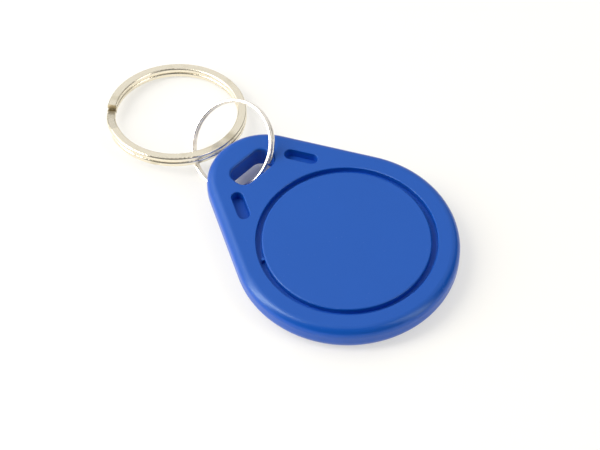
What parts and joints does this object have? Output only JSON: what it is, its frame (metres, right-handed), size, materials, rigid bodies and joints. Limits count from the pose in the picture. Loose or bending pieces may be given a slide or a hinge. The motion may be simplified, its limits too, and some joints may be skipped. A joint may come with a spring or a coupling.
{
  "type": "rfid key fob tag",
  "caption": "Flat teardrop RFID tag with a round lid on its face, a key slot at its narrow end, and a split key ring linked on by a thin wire ring.",
  "frame": {"origin": "the centre of the round head, on the fob's flat back", "axes": "+Y from the round head to the key slot and the rings, +Z out through the lid on the face"},
  "size_m": [0.032, 0.0623, 0.0102],
  "materials": {
    "blue_shell": "satin injection-moulded ABS",
    "blue_lid": "fine satin injection-moulded ABS",
    "copper_wire": null,
    "board": "glass-fibre board",
    "resin": "black cast resin",
    "solder": "solidified tin solder",
    "nickel_wire": "bright nickel-plated steel wire",
    "nickel_ring": "bright nickel-plated flat steel wire"
  },
  "bodies": {
    "fob": {"fob_shell": "blue_shell", "front_lid": "blue_lid", "antenna_coil": "copper_wire", "coil_lead_1": "copper_wire", "coil_lead_2": "copper_wire", "chip_board": "board", "chip_resin": "resin", "solder_joint_1": "solder", "solder_joint_2": "solder"},
    "small_ring": {"jump_ring": "nickel_wire"},
    "key_ring": {"split_ring": "nickel_ring"}
  },
  "joints": [
    {"name": "small_ring_swing", "type": "hinge", "parent": "fob", "child": "small_ring", "pos_m": [0, 0.0225, 0.0021], "axis": [0, -1, 0], "range_deg": [0, 88]},
    {"name": "key_ring_swing", "type": "hinge", "parent": "small_ring", "child": "key_ring", "pos_m": [0, 0.0271, 0.00095], "axis": [0.9957, -0.0046, -0.0925], "range_deg": [0, 130]}
  ]
}
